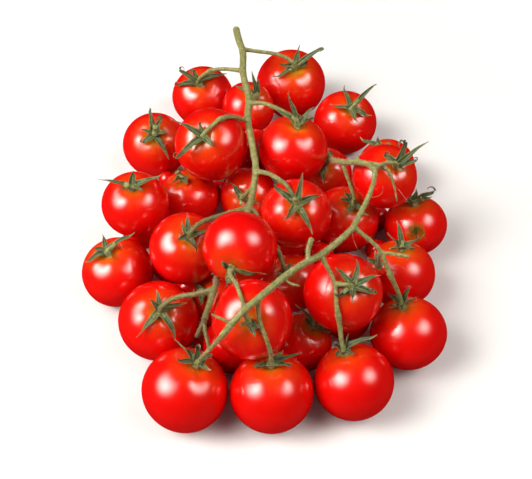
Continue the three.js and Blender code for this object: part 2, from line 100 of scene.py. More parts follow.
def hang_lamp(name, lamp):
    light = bpy.data.lights.new(name, "AREA")
    light.shape = "SQUARE"
    light.size = lamp["size"]
    light.energy = lamp["power"]
    light.color = LAMP_WHITE
    light.spread = math.radians(lamp["spread"])
    light.use_nodes = True
    tree = light.node_tree
    across_face = wire(tree, "NewGeometry").outputs["Parametric"]
    off_middle = wire(tree, "VectorMath", {0: across_face, 1: (0.5, 0.5, 0)}, operation="DISTANCE")
    feather = {"Value": off_middle.outputs["Value"], "From Min": 0.0, "From Max": 0.5,
               "To Min": 1.0, "To Max": 0.0}
    faded = wire(tree, "MapRange", feather, interpolation_type="SMOOTHSTEP").outputs["Result"]
    tree.links.new(faded, tree.nodes["Emission"].inputs["Strength"])
    hung = place(name, light)
    hung.location = LAMP_TARGET + Vector(lamp["from"]) * LAMP_REACH
    hung.rotation_euler = (LAMP_TARGET - hung.location).to_track_quat("-Z", "Y").to_euler()


board_mesh = bpy.data.meshes.new("white_board")
bm = bmesh.new()
bmesh.ops.create_grid(bm, x_segments=1, y_segments=1, size=BOARD_HALF_WIDTH)
bmesh.ops.translate(bm, verts=bm.verts, vec=(0, 0, -BOARD_DROP))
bm.to_mesh(board_mesh)
bm.free()
board_paint, tree, shader = new_finish("white_board_painted_light")
# Painted reflection and painted shade: glossy rays see the board dark red, diffuse rays see it dimmer and
# pink.
rays = wire(tree, "LightPath").outputs
painted_bounce_shade = {0: rays["Is Diffuse Ray"], 6: BOARD_WHITE, 7: BOARD_PAINTED_BOUNCE_SHADE}
painted_bounce_shade = wire(tree, "Mix", painted_bounce_shade, data_type="RGBA").outputs[2]
painted_reflection = {0: rays["Is Glossy Ray"], 6: painted_bounce_shade, 7: BOARD_PAINTED_REFLECTION}
painted_reflection = wire(tree, "Mix", painted_reflection, data_type="RGBA").outputs[2]
tree.links.new(painted_reflection, shader.inputs["Base Color"])
# Painted glow: camera rays see the board emit white light that grows away from the heap and hides its
# shadows.
on_board = wire(tree, "TexCoord").outputs["Object"]
from_middle = wire(tree, "VectorMath", {0: on_board}, operation="LENGTH").outputs["Value"]
painted_glow = {"Value": from_middle, "From Min": BOARD_GLOW_FROM, "From Max": BOARD_GLOW_FULL,
             "To Min": 0.0, "To Max": BOARD_GLOW}
painted_glow = wire(tree, "MapRange", painted_glow, interpolation_type="SMOOTHSTEP").outputs["Result"]
camera_glow = wire(tree, "Math", {0: painted_glow, 1: rays["Is Camera Ray"]}, operation="MULTIPLY").outputs[0]
tree.links.new(camera_glow, shader.inputs["Emission Strength"])
shader.inputs["Emission Color"].default_value = (1, 1, 1, 1)
shader.inputs["Roughness"].default_value = 0.9
shader.inputs["Specular IOR Level"].default_value = 0.0
board_mesh.materials.append(board_paint)
board = place("white_board", board_mesh)

hang_lamp("left_soft_lamp", LEFT_LAMP)
hang_lamp("right_soft_lamp", RIGHT_LAMP)
room = bpy.data.worlds.new("pale_room")
room.use_nodes = True
tree = room.node_tree
toward = wire(tree, "TexCoord").outputs["Generated"]
height = wire(tree, "SeparateXYZ", {0: toward}).outputs["Z"]
horizon = {"Value": height, "From Min": -0.1, "From Max": 0.1}
glow = wire(tree, "MapRange", {**horizon, "To Min": ROOM_BELOW, "To Max": ROOM_ABOVE}).outputs["Result"]
gloss = wire(tree, "MapRange", {**horizon, "To Min": GLOSS_BELOW, "To Max": GLOSS_ABOVE}).outputs["Result"]
rays = wire(tree, "LightPath").outputs
glow = wire(tree, "Mix", {0: rays["Is Glossy Ray"], 2: glow, 3: gloss}).outputs[0]
glow = wire(tree, "Mix", {0: rays["Is Camera Ray"], 2: glow, 3: 1.0}).outputs[0]
tree.links.new(glow, tree.nodes["Background"].inputs["Strength"])
tree.nodes["Background"].inputs["Color"].default_value = (1, 1, 1, 1)
bpy.context.scene.world = room
bpy.context.scene.view_settings.view_transform = "Standard"

lens = bpy.data.cameras.new("camera")
lens.sensor_fit = "HORIZONTAL"
lens.sensor_width = CAMERA_SENSOR
lens.lens = CAMERA_LENS
lens.clip_start = 0.01
camera = place("camera", lens)
camera.location = CAMERA_PLACE
camera.rotation_euler = (CAMERA_TILT, 0, 0)
bpy.context.scene.camera = camera

# Each tomato is a ripe cocktail fruit: a thin, tight, glossy skin over soft flesh, a little flattened,
# with a shallow dimple and faint shoulders where its stalk grows in. The lowest rest on small flats.
SKIN_ROWS = 48
SKIN_TURNS = 72
ROW_CROWDING = 1.3
FLATTENING = 0.94
DIMPLE_DEPTH = 0.13
DIMPLE_WIDTH = 0.32
SOLID_BANDS = {12: 8, 10: 6, 8: 5}
EVEN_SPOKES = 1.1
SHOULDER_SWELL = 0.011
SHOULDER_ANGLE = 0.5
SHOULDER_SPREAD = 0.33
SHOULDER_SINK = 0.4
LOBE_COUNTS = (4, 5, 5, 6)
SKIN_WANDER = 0.009
SKIN_WANDER_SCALE = 1.2
SEED_REACH = 50
TONE_RANGE = (-0.02, 0.035)
GRAIN_STRETCH = 3
LEAST_FLANK = 0.05
# One side of fruit_09 carries a streaked dark olive-brown patch.
OLIVE_SPOT_FRUIT = "fruit_09"
OLIVE_SPOT_TOWARD = Vector((-0.16, -0.80, 0.58))
OLIVE_SPOT_SPREAD = 0.46


def skin_reach(angle):
    along, across = math.cos(angle), math.sin(angle)
    globe = 1 / math.sqrt(across ** 2 + (along / FLATTENING) ** 2)
    if along <= 0:
        return globe
    return globe * (1 - DIMPLE_DEPTH * math.exp(-(across / DIMPLE_WIDTH) ** 2))


def merged_copy(node):
    copy = bmesh.new()
    copy.from_mesh(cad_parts[node].data)
    bmesh.ops.remove_doubles(copy, verts=copy.verts, dist=1e-6)
    copy.normal_update()
    return copy


def hollowness(vert):
    around = [edge.other_vert(vert).co for edge in vert.link_edges]
    middle = sum(around, Vector()) / len(around)
    return (middle - vert.co).dot(vert.normal)


def is_pole(vert):
    spokes = [edge.calc_length() for edge in vert.link_edges]
    return len(spokes) in SOLID_BANDS and max(spokes) < EVEN_SPOKES * min(spokes)


def read_fruit(node):
    solid = merged_copy(node)
    pole = max(filter(is_pole, solid.verts), key=hollowness)
    ring = [edge.other_vert(pole).co for edge in pole.link_edges]
    middle = sum(ring, Vector()) / len(ring)
    axis = pole.normal.copy()
    ring_radius = sum((point - middle).length for point in ring) / len(ring)
    ring_angle = math.pi / SOLID_BANDS[len(ring)]
    radius = ring_radius / (skin_reach(ring_angle) * math.sin(ring_angle))
    fruit = {"axis": axis, "radius": radius, "pole": pole.co.copy()}
    fruit["centre"] = pole.co - axis * radius * skin_reach(0)
    solid.free()
    return fruit


def tomato_mesh(name, fruit, draw):
    bm = bmesh.new()
    grain_layer = bm.verts.layers.float_vector.new("grain")
    polar_layer = bm.verts.layers.float.new("polar")
    tone_layer = bm.verts.layers.float.new("tone")
    olive_spot_layer = bm.verts.layers.float.new("olive_spot")
    chain = []
    for row in range(SKIN_ROWS + 1):
        angle = math.pi * (row / SKIN_ROWS) ** ROW_CROWDING
        reach = skin_reach(angle)
        chain.append(bm.verts.new((reach * math.sin(angle), 0, reach * math.cos(angle))))
    edges = [bm.edges.new(pair) for pair in zip(chain, chain[1:])]
    bmesh.ops.spin(bm, geom=chain + edges, cent=(0, 0, 0), axis=(0, 0, 1), angle=math.tau,
                   steps=SKIN_TURNS, use_merge=True)
    bmesh.ops.remove_doubles(bm, verts=bm.verts, dist=1e-5)
    bmesh.ops.recalc_face_normals(bm, faces=bm.faces)
    turn = fruit["axis"].to_track_quat("Z", "Y").to_matrix()
    seed = Vector([draw.uniform(-SEED_REACH, SEED_REACH) for _ in range(3)])
    lobes = draw.choice(LOBE_COUNTS)
    lobe_turn = draw.uniform(0, math.tau)
    tone = draw.uniform(*TONE_RANGE)
    for vert in bm.verts:
        toward = vert.co.normalized()
        angle = math.acos(max(-1, min(1, toward.z)))
        round_turn = math.atan2(toward.y, toward.x)
        swell = SHOULDER_SWELL * math.exp(-((angle - SHOULDER_ANGLE) / SHOULDER_SPREAD) ** 2)
        swell *= math.cos(lobes * round_turn + lobe_turn) - SHOULDER_SINK
        swell += SKIN_WANDER * noise.noise(toward * SKIN_WANDER_SCALE + seed)
        stretch = GRAIN_STRETCH / max(math.sin(angle), LEAST_FLANK)
        vert[grain_layer] = (toward.x * stretch, toward.y * stretch, angle)
        vert[polar_layer] = angle / math.pi
        vert[tone_layer] = tone
        outward = turn @ toward
        olive_spot = (outward - OLIVE_SPOT_TOWARD).length / OLIVE_SPOT_SPREAD
        vert[olive_spot_layer] = max(0, 1 - olive_spot) if name == OLIVE_SPOT_FRUIT else 0
        vert.co = fruit["centre"] + turn @ (vert.co * (1 + swell)) * fruit["radius"]
        vert.co.z = max(vert.co.z, 0)
    for face in bm.faces:
        face.smooth = True
    mesh = bpy.data.meshes.new(name)
    bm.to_mesh(mesh)
    bm.free()
    return mesh


def ramp(tree, amount, stops):
    made = wire(tree, "ValToRGB", {"Fac": amount})
    points = made.color_ramp.elements
    while len(points) < len(stops):
        points.new(0.5)
    for point, (place_on, colour) in zip(points, stops):
        point.position = place_on
        point.color = (*colour, 1)
    return made.outputs["Color"]


def blend_colours(tree, amount, first, second, way="MIX"):
    made = wire(tree, "Mix", {0: amount, 6: first, 7: second}, data_type="RGBA", blend_type=way)
    return made.outputs[2]


def combined(tree, first, second, way="ADD"):
    return wire(tree, "Math", {0: first, 1: second}, operation=way).outputs[0]


def scaled(tree, value, low, high):
    made = wire(tree, "MapRange", {"Value": value, "To Min": low, "To Max": high})
    return made.outputs["Result"]


def speckle_noise(tree, vector, scale, detail=3.0):
    made = wire(tree, "TexNoise", {"Vector": vector, "Scale": scale, "Detail": detail})
    return made.outputs["Fac"]


skin, tree, shader = new_finish("tomato_skin")
on_object = wire(tree, "TexCoord").outputs["Object"]
polar = wire(tree, "Attribute", attribute_name="polar").outputs["Fac"]
tone = wire(tree, "Attribute", attribute_name="tone").outputs["Fac"]
grain = wire(tree, "Attribute", attribute_name="grain").outputs["Vector"]
olive_spot = wire(tree, "Attribute", attribute_name="olive_spot").outputs["Fac"]
streaks = speckle_noise(tree, grain, 3.2, 5.0)
clouds = speckle_noise(tree, on_object, 55.0)
ripeness = combined(tree, polar, tone)
ripeness = combined(tree, ripeness, scaled(tree, streaks, -0.05, 0.05))
ripeness = combined(tree, ripeness, scaled(tree, clouds, -0.09, 0.09))
red = ramp(tree, ripeness, (
    (0.03, (0.52, 0.26, 0.010)),
    (0.07, (0.68, 0.13, 0.004)),
    (0.14, (0.79, 0.043, 0.002)),
    (0.28, (0.78, 0.0042, 0.0006)),
    (0.50, (0.74, 0.0007, 0.0004)),
    (1.00, (0.60, 0.0005, 0.0004)),
))
dots = wire(tree, "TexVoronoi", {"Vector": on_object, "Scale": 620.0}).outputs["Distance"]
dots = wire(tree, "MapRange", {"Value": dots, "From Min": 0.10, "From Max": 0.2,
                               "To Min": 0.16, "To Max": 0.0}).outputs["Result"]
red = blend_colours(tree, dots, red, (0.62, 0.09, 0.012, 1))
# The streaked dark olive-brown patch on one side of fruit_09 is mixed into the red here.
olive_spot_edge = combined(tree, olive_spot, scaled(tree, speckle_noise(tree, grain, 4.5, 6.0), -0.75, 0.75))
olive_spot_streaks = wire(tree, "MapRange", {"Value": olive_spot_edge, "From Min": 0.05, "From Max": 0.75})
olive_spot_within = wire(tree, "MapRange", {"Value": olive_spot, "From Max": 0.25})
olive_spot_mask = combined(tree, olive_spot_streaks.outputs["Result"], olive_spot_within.outputs["Result"], "MULTIPLY")
olive_spot_brown = ramp(tree, olive_spot_edge, (
    (0.25, (0.42, 0.09, 0.004)),
    (0.50, (0.16, 0.11, 0.004)),
    (0.80, (0.05, 0.045, 0.004)),
))
red = blend_colours(tree, olive_spot_mask, red, olive_spot_brown)
scar = wire(tree, "MapRange", {"Value": polar, "From Min": 0.982, "From Max": 0.990}).outputs["Result"]
red = blend_colours(tree, scar, red, (0.10, 0.045, 0.015, 1))
tree.links.new(red, shader.inputs["Base Color"])
tree.links.new(scaled(tree, speckle_noise(tree, on_object, 120.0), 0.18, 0.26), shader.inputs["Roughness"])
turned_away = wire(tree, "LayerWeight", {"Blend": 0.5}).outputs["Facing"]
rim_gloss = {"Value": turned_away, "From Min": 0.62, "From Max": 0.9}
gloss = wire(tree, "MapRange", {**rim_gloss, "To Min": 0.5, "To Max": 0.08}).outputs["Result"]
coat = wire(tree, "MapRange", {**rim_gloss, "To Min": 0.9, "To Max": 0.1}).outputs["Result"]
tree.links.new(gloss, shader.inputs["Specular IOR Level"])
tree.links.new(coat, shader.inputs["Coat Weight"])
shader.inputs["Coat Roughness"].default_value = 0.15
shader.inputs["Subsurface Weight"].default_value = 0.12
shader.inputs["Subsurface Radius"].default_value = (1.0, 0.2, 0.08)
shader.inputs["Subsurface Scale"].default_value = 0.004
pores = wire(tree, "Bump", {"Height": speckle_noise(tree, on_object, 1500.0), "Strength": 0.05,
                            "Distance": 0.0004})
waves = wire(tree, "Bump", {"Height": speckle_noise(tree, on_object, 70.0, 1.0), "Strength": 0.12,
                            "Distance": 0.001, "Normal": pores.outputs["Normal"]})
tree.links.new(waves.outputs["Normal"], shader.inputs["Normal"])

draw = random.Random(5)
fruits = {}
for node in sorted(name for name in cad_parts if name.startswith("fruit_")):
    fruits[node] = read_fruit(node)
    mesh = tomato_mesh(node, fruits[node], draw)
    mesh.materials.append(skin)
    tomato = place(node.replace("fruit", "tomato"), mesh)
    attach(tomato, "root")
    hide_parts(node)

# The calyx is the green star that stays on the fruit: five or six narrow, hairy leaf blades that
# curl up from a small knobbly disc, dry to brown threads at their tips, and the top of the stalk.
BLADE_LAYERS = ("along", "across", "shade")
BLADE_ROWS = 26
BLADE_LANES = 8
BLADE_THICKNESS = 0.0005
BLADE_ROOT_LIFT = 0.0008
BLADE_ROOT_REACH = 0.0009
BLADE_TRIM = (0.74, 0.96)
WIDTH_AT_LOW_RING = 0.56
WIDTH_AT_HIGH_RING = 0.34
BLADE_FOLD = (0.25, 0.9)
BLADE_WAVE = 0.2
BLADE_RIPPLES = 11
BLADE_RIPPLE_SLANT = 0.8
RIB_LOOK = 0.02
BLADE_HOOK_FROM = (0.5, 0.72)
BLADE_HOOK = (0.1, 1.2)
HOOK_LEAN = 1.1
HOOK_LOOK_BACK = 0.03
BLADE_RING = (3.4, 5.0)
BLADE_RING_SHARE = 0.2
BLADE_TWIST = 1.1
BLADE_RIB = 0.00012
BLADE_LEAST_WIDTH = 0.00014
BLADE_CLEARANCE = 0.00018
SKIN_LOOK = 1.1
SHARP_TIP = math.radians(150)
LEAST_TIP = 0.001
BLADE_SIDES = 4
DISC_LIFT = 0.0008
DISC_RADIUS = 0.0024
DISC_FLARE = 0.0017
STALK_RADIUS = 0.00115
KNUCKLE_RADIUS = 0.0016
KNUCKLE_OVERLAP = 0.0014
KNUCKLE_SHARE = 0.14
STALK_STEPS = 16
END_RING_REACH = 0.0033


def find_blades(solid):
    blades = []
    for tip in solid.verts:
        if sum(loop.calc_angle() for loop in tip.link_loops) > SHARP_TIP:
            continue
        high = {edge.other_vert(tip) for edge in tip.link_edges}
        low = {edge.other_vert(vert) for vert in high for edge in vert.link_edges} - high - {tip}
        blade = {"tip": tip.co.copy(), "verts": {tip} | high | low, "outer": {tip} | high}
        blade["high"] = sum((vert.co for vert in high), Vector()) / len(high)
        if (blade["tip"] - blade["high"]).length < LEAST_TIP:
            continue
        blade["low"] = None
        blade["side"] = [vert.co.copy() for vert in high]
        if len(low) == BLADE_SIDES:
            blade["low"] = sum((vert.co for vert in low), Vector()) / len(low)
            blade["side"] = [vert.co.copy() for vert in low]
            blade["outer"] |= low
        blades.append(blade)
    return blades


def widest(ring):
    pairs = [(first, second) for first in ring for second in ring]
    return max(pairs, key=lambda pair: (pair[0] - pair[1]).length)


def clear_of_skin(point, gap):
    for fruit in fruits.values():
        away = point - fruit["centre"]
        if away.length > fruit["radius"] * SKIN_LOOK:
            continue
        angle = away.angle(fruit["axis"])
        surface = fruit["radius"] * skin_reach(angle) + gap
        if away.length < surface:
            point = fruit["centre"] + away.normalized() * surface
    return point


def on_curve(points, amount):
    spans = len(points) - 1
    step = min(int(amount * spans), spans - 1)
    share = amount * spans - step
    before = points[step - 1] if step else points[0] * 2 - points[1]
    after = points[step + 2] if step + 2 <= spans else points[-1] * 2 - points[-2]
    here, there = points[step], points[step + 1]
    return 0.5 * (2 * here + (there - before) * share
                  + (2 * before - 5 * here + 4 * there - after) * share ** 2
                  + (3 * here - before - 3 * there + after) * share ** 3)


def add_blade(bm, layers, fruit, blade, draw):
    hub = fruit["pole"] + fruit["axis"] * DISC_LIFT
    high = blade["high"]
    low = blade["low"] or clear_of_skin((hub + high) / 2, 2 * BLADE_THICKNESS)
    outward = low - hub
    outward -= fruit["axis"] * outward.dot(fruit["axis"])
    root = hub + fruit["axis"] * BLADE_ROOT_LIFT + outward.normalized() * BLADE_ROOT_REACH
    pull = 2 * low - 0.5 * (root + blade["tip"])
    quarter = 0.5625 * root + 0.375 * pull + 0.0625 * blade["tip"]
    spine = [root, quarter, low, high, blade["tip"]]
    first, second = widest(blade["side"])
    ring_share = WIDTH_AT_LOW_RING if blade["low"] else WIDTH_AT_HIGH_RING
    half_width = (first - second).length / 2 / ring_share * draw.uniform(*BLADE_TRIM)
    low_side = (first - second).normalized()
    phase = draw.uniform(0, math.tau)
    fold = draw.uniform(*BLADE_FOLD)
    twist = draw.uniform(-BLADE_TWIST, BLADE_TWIST)
    shade = draw.random()
    hook_from = draw.uniform(*BLADE_HOOK_FROM)
    hook = draw.uniform(*(BLADE_RING if draw.random() < BLADE_RING_SHARE else BLADE_HOOK))
    hook_base = on_curve(spine, hook_from)
    hook_ahead = (hook_base - on_curve(spine, hook_from - HOOK_LOOK_BACK)).normalized()
    hook_up = hook_base - fruit["centre"]
    hook_up = (hook_up - hook_ahead * hook_up.dot(hook_ahead)).normalized()
    hook_up = Matrix.Rotation(draw.uniform(-HOOK_LEAN, HOOK_LEAN), 3, hook_ahead) @ hook_up
    hook_reach = (blade["tip"] - hook_base).length / hook

    def rib_at(along):
        if along <= hook_from:
            return on_curve(spine, along)
        turned = hook * (along - hook_from) / (1 - hook_from)
        return hook_base + hook_reach * (hook_ahead * math.sin(turned) + hook_up * (1 - math.cos(turned)))

    sheets = []
    for face_of in (1, -1):
        made = bmesh.ops.create_grid(bm, x_segments=BLADE_ROWS, y_segments=BLADE_LANES, size=1)["verts"]
        sheets += made
        for vert in made:
            along, lane = (vert.co.x + 1) / 2, vert.co.y
            middle = rib_at(along)
            ahead = rib_at(min(1, along + RIB_LOOK)) - rib_at(max(0, along - RIB_LOOK))
            ahead.normalize()
            up = (middle - fruit["centre"]).normalized()
            side = ahead.cross(up).normalized()
            if low_side.dot(side) < 0:
                low_side = -low_side
            share = min(1, along * 2)
            side = (side * (1 - share) + low_side * share).normalized()
            side = (side - ahead * side.dot(ahead)).normalized()
            side = Matrix.Rotation(twist * along ** 2 * 2, 3, ahead) @ side
            up = side.cross(ahead)
            if up.dot(middle - fruit["centre"]) < 0:
                up = -up
            width = half_width * (1 - along) ** 1.2 * (0.8 + 0.9 * along) + BLADE_LEAST_WIDTH
            turn = phase + along * BLADE_RIPPLES + lane * BLADE_RIPPLE_SLANT
            ripple = BLADE_WAVE * math.sin(turn) * abs(lane)
            rise = width * (fold * abs(lane) ** 1.4 + ripple)
            rib = BLADE_RIB * math.exp(-(lane / 0.18) ** 2) * (1 - along)
            body = BLADE_THICKNESS / 2 * (1 - 0.6 * abs(lane)) * (1 - 0.4 * along)
            point = middle + side * lane * width + up * rise
            point = clear_of_skin(point, BLADE_CLEARANCE + BLADE_THICKNESS)
            vert[layers["along"]] = along
            vert[layers["across"]] = lane
            vert[layers["shade"]] = shade
            vert.co = point + up * (face_of * body - rib)
    edges = {edge for vert in sheets for edge in vert.link_edges if edge.is_boundary}
    bmesh.ops.bridge_loops(bm, edges=list(edges))
    faces = {face for vert in sheets for face in vert.link_faces}
    bmesh.ops.recalc_face_normals(bm, faces=list(faces))


def stalk_end(solid, fruit, blades):
    taken = {vert for blade in blades for vert in blade["verts"]}
    free = [vert.co for vert in solid.verts if vert not in taken]
    hub = fruit["pole"]
    farthest = max(free, key=lambda point: (point - hub).length)
    ring = [point for point in free if (point - farthest).length < END_RING_REACH]
    end = sum(ring, Vector()) / len(ring)
    spread = [point - end for point in ring]
    normals = [a.cross(b) for a in spread for b in spread if a.cross(b).length > 1e-7]
    facing = Vector()
    for normal in normals:
        facing += normal if normal.dot(hub - end) > 0 else -normal
    return end, facing.normalized()


def stalk_mesh(start, heading, fruit):
    hub = fruit["pole"] + fruit["axis"] * DISC_LIFT * 0.6
    span = (hub - start).length
    bend = [start - heading * KNUCKLE_OVERLAP, start + heading * span * 0.35,
            hub + fruit["axis"] * span * 0.4, hub]
    curve = bpy.data.curves.new("stalk_line", "CURVE")
    curve.dimensions = "3D"
    curve.bevel_depth = 1
    curve.bevel_resolution = 3
    curve.use_fill_caps = True
    line = curve.splines.new("POLY")
    line.points.add(STALK_STEPS)
    for step, point in enumerate(line.points):
        share = step / STALK_STEPS
        rest = 1 - share
        spot = (bend[0] * rest ** 3 + bend[1] * 3 * rest ** 2 * share
                + bend[2] * 3 * rest * share ** 2 + bend[3] * share ** 3)
        point.co = (*spot, 1)
        to_hub = (hub - spot).length
        knuckle = (KNUCKLE_RADIUS - STALK_RADIUS) * math.exp(-(share / KNUCKLE_SHARE) ** 2)
        disc = (DISC_RADIUS - STALK_RADIUS) * math.exp(-(to_hub / DISC_FLARE) ** 2)
        point.radius = STALK_RADIUS + knuckle + disc
    holder = place("stalk_line", curve)
    mesh = bpy.data.meshes.new_from_object(holder.evaluated_get(bpy.context.evaluated_depsgraph_get()))
    bpy.data.objects.remove(holder)
    return mesh


leaf_green, tree, shader = new_finish("calyx_green")
on_object = wire(tree, "TexCoord").outputs["Object"]
along = wire(tree, "Attribute", attribute_name="along").outputs["Fac"]
across = wire(tree, "Attribute", attribute_name="across").outputs["Fac"]
mottle = speckle_noise(tree, on_object, 420.0, 4.0)
patches = speckle_noise(tree, on_object, 110.0)
green = ramp(tree, mottle, (
    (0.32, (0.008, 0.020, 0.003)),
    (0.50, (0.050, 0.084, 0.017)),
    (0.66, (0.185, 0.240, 0.075)),
))
green = blend_colours(tree, scaled(tree, patches, 0.0, 0.35), green, (0.060, 0.095, 0.020, 1))
shade = wire(tree, "Attribute", attribute_name="shade").outputs["Fac"]
green = blend_colours(tree, scaled(tree, shade, 0.0, 0.4), green, (0.15, 0.20, 0.055, 1))
off_rib = wire(tree, "Math", {0: across}, operation="ABSOLUTE").outputs[0]
# Painted shade: each blade is darkened beside its midrib, down in the V of its fold.
painted_fold_shade = wire(tree, "MapRange", {"Value": off_rib, "From Min": 0.15, "From Max": 0.8,
                                "To Min": 0.6, "To Max": 0.0}).outputs["Result"]
green = blend_colours(tree, painted_fold_shade, green, (0.016, 0.030, 0.006, 1))
rib = wire(tree, "MapRange", {"Value": off_rib, "From Min": 0.05, "From Max": 0.22,
                              "To Min": 0.55, "To Max": 0.0}).outputs["Result"]
green = blend_colours(tree, rib, green, (0.27, 0.31, 0.13, 1))
# Pale blade margins: partly the real pale margin, partly a painted highlight along the raised edges.
pale_margin_and_edge_light = wire(tree, "MapRange", {"Value": off_rib, "From Min": 0.8, "From Max": 1.0,
                              "To Min": 0.0, "To Max": 0.6}).outputs["Result"]
green = blend_colours(tree, pale_margin_and_edge_light, green, (0.30, 0.31, 0.16, 1))
dry = combined(tree, along, scaled(tree, patches, -0.16, 0.16))
dry = wire(tree, "MapRange", {"Value": dry, "From Min": 0.72, "From Max": 0.98}).outputs["Result"]
dry_colour = blend_colours(tree, shade, (0.09, 0.06, 0.028, 1), (0.40, 0.31, 0.17, 1))
green = blend_colours(tree, dry, green, dry_colour)
tree.links.new(green, shader.inputs["Base Color"])
tree.links.new(scaled(tree, mottle, 0.5, 0.75), shader.inputs["Roughness"])
shader.inputs["Sheen Weight"].default_value = 0.08
shader.inputs["Subsurface Weight"].default_value = 0.05
shader.inputs["Subsurface Scale"].default_value = 0.001
veins = wire(tree, "Bump", {"Height": mottle, "Strength": 0.5, "Distance": 0.0004})
tree.links.new(veins.outputs["Normal"], shader.inputs["Normal"])

stalk_green, tree, shader = new_finish("stalk_green")
on_object = wire(tree, "TexCoord").outputs["Object"]
mottle = speckle_noise(tree, on_object, 640.0, 5.0)
patches = speckle_noise(tree, on_object, 60.0)
green = ramp(tree, mottle, (
    (0.30, (0.120, 0.132, 0.026)),
    (0.48, (0.220, 0.232, 0.064)),
    (0.68, (0.390, 0.395, 0.155)),
))
green = blend_colours(tree, scaled(tree, patches, 0.0, 0.4), green, (0.27, 0.24, 0.070, 1))
old = wire(tree, "Attribute", attribute_name="old").outputs["Fac"]
old_bark = combined(tree, old, scaled(tree, patches, 0.2, 0.8), "MULTIPLY")
green = blend_colours(tree, old_bark, green, (0.115, 0.098, 0.026, 1))
cut = wire(tree, "Attribute", attribute_name="cut").outputs["Fac"]
green = blend_colours(tree, cut, green, (0.52, 0.46, 0.27, 1))
tree.links.new(green, shader.inputs["Base Color"])
tree.links.new(scaled(tree, mottle, 0.45, 0.7), shader.inputs["Roughness"])
shader.inputs["Sheen Weight"].default_value = 0.12
shader.inputs["Subsurface Weight"].default_value = 0.08
shader.inputs["Subsurface Scale"].default_value = 0.0015
rough_bark = wire(tree, "Bump", {"Height": mottle, "Strength": 0.35, "Distance": 0.0005})
tree.links.new(rough_bark.outputs["Normal"], shader.inputs["Normal"])


def finish_calyx(name, node, bm):
    for face in bm.faces:
        face.smooth = True
    mesh = bpy.data.meshes.new(name)
    bm.to_mesh(mesh)
    bm.free()
    mesh.materials.append(leaf_green)
    mesh.materials.append(stalk_green)
    star = place(name, mesh)
    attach(star, "root")
    if node:
        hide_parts(node)


draw = random.Random(11)
for node in sorted(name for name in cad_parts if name.startswith("calyx_")):
    fruit = fruits[node.replace("calyx", "fruit")]
    solid = merged_copy(node)
    blades = find_blades(solid)
    start, heading = stalk_end(solid, fruit, blades)
    bm = bmesh.new()
    bm.from_mesh(stalk_mesh(start, heading, fruit))
    for face in bm.faces:
        face.material_index = 1
    layers = {layer: bm.verts.layers.float.new(layer) for layer in BLADE_LAYERS}
    for blade in blades:
        add_blade(bm, layers, fruit, blade, draw)
    finish_calyx(node.replace("calyx", "star"), node, bm)
    solid.free()

# The truss stems are the green vines that carry the fruits: ribbed, slightly hairy stalks that
# thicken at their forks, with the side stalks grown out of them and cut across at their free ends.
VINE_GRID = 0.00032
VINE_SMOOTHING = 14
VINE_SWELL = {"stem_upper": 0.00022, "stem_lower": 0.00003}
VINE_WANDER = 0.0001
VINE_WANDER_SCALE = 180
LEVEL_AXIS = 0.02
GROWN_ON = [node for node in fruits if node.replace("fruit", "calyx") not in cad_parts
            and abs(fruits[node]["axis"].z) > LEVEL_AXIS]
CUT_ENDS = {"stem_upper": ((236, 29),), "stem_lower": ((312, 238), (409, 257))}
CUT_LOOK = 0.006
CUT_REACH = 0.0028
CUT_FACING = 0.55
OLD_WOOD_STEM = "stem_upper"
OLD_WOOD_FROM = -0.005
OLD_WOOD_SPAN = 0.02
HAIR_COUNT = 3000
TUFT_SIZE = 100
HAIR_LENGTH = (0.0005, 0.0013)
HAIR_RADIUS = 0.00005
HAIR_LEAN = 0.5
HAIR_SINK = 0.45


def sight(pixel):
    across = (pixel[0] - PHOTO_MIDDLE[0]) / PHOTO_FOCAL
    upward = (PHOTO_MIDDLE[1] - pixel[1]) / PHOTO_FOCAL
    return (Matrix.Rotation(CAMERA_TILT, 3, "X") @ Vector((across, upward, -1))).normalized()


def nearest_to_sight(verts, pixel):
    ahead = sight(pixel)

    def miss(vert):
        away = vert.co - camera.location
        return (away - ahead * away.dot(ahead)).length

    return min(verts, key=miss)


hair_pale, tree, shader = new_finish("stalk_hairs")
on_object = wire(tree, "TexCoord").outputs["Object"]
frost = speckle_noise(tree, on_object, 700.0)
pale = ramp(tree, frost, ((0.35, (0.34, 0.36, 0.19)), (0.65, (0.66, 0.65, 0.46))))
tree.links.new(pale, shader.inputs["Base Color"])
tree.links.new(scaled(tree, frost, 0.4, 0.6), shader.inputs["Roughness"])
shader.inputs["Sheen Weight"].default_value = 0.2


def owner_of(blade):
    return min(GROWN_ON, key=lambda node: (fruits[node]["pole"] - blade["high"]).length)


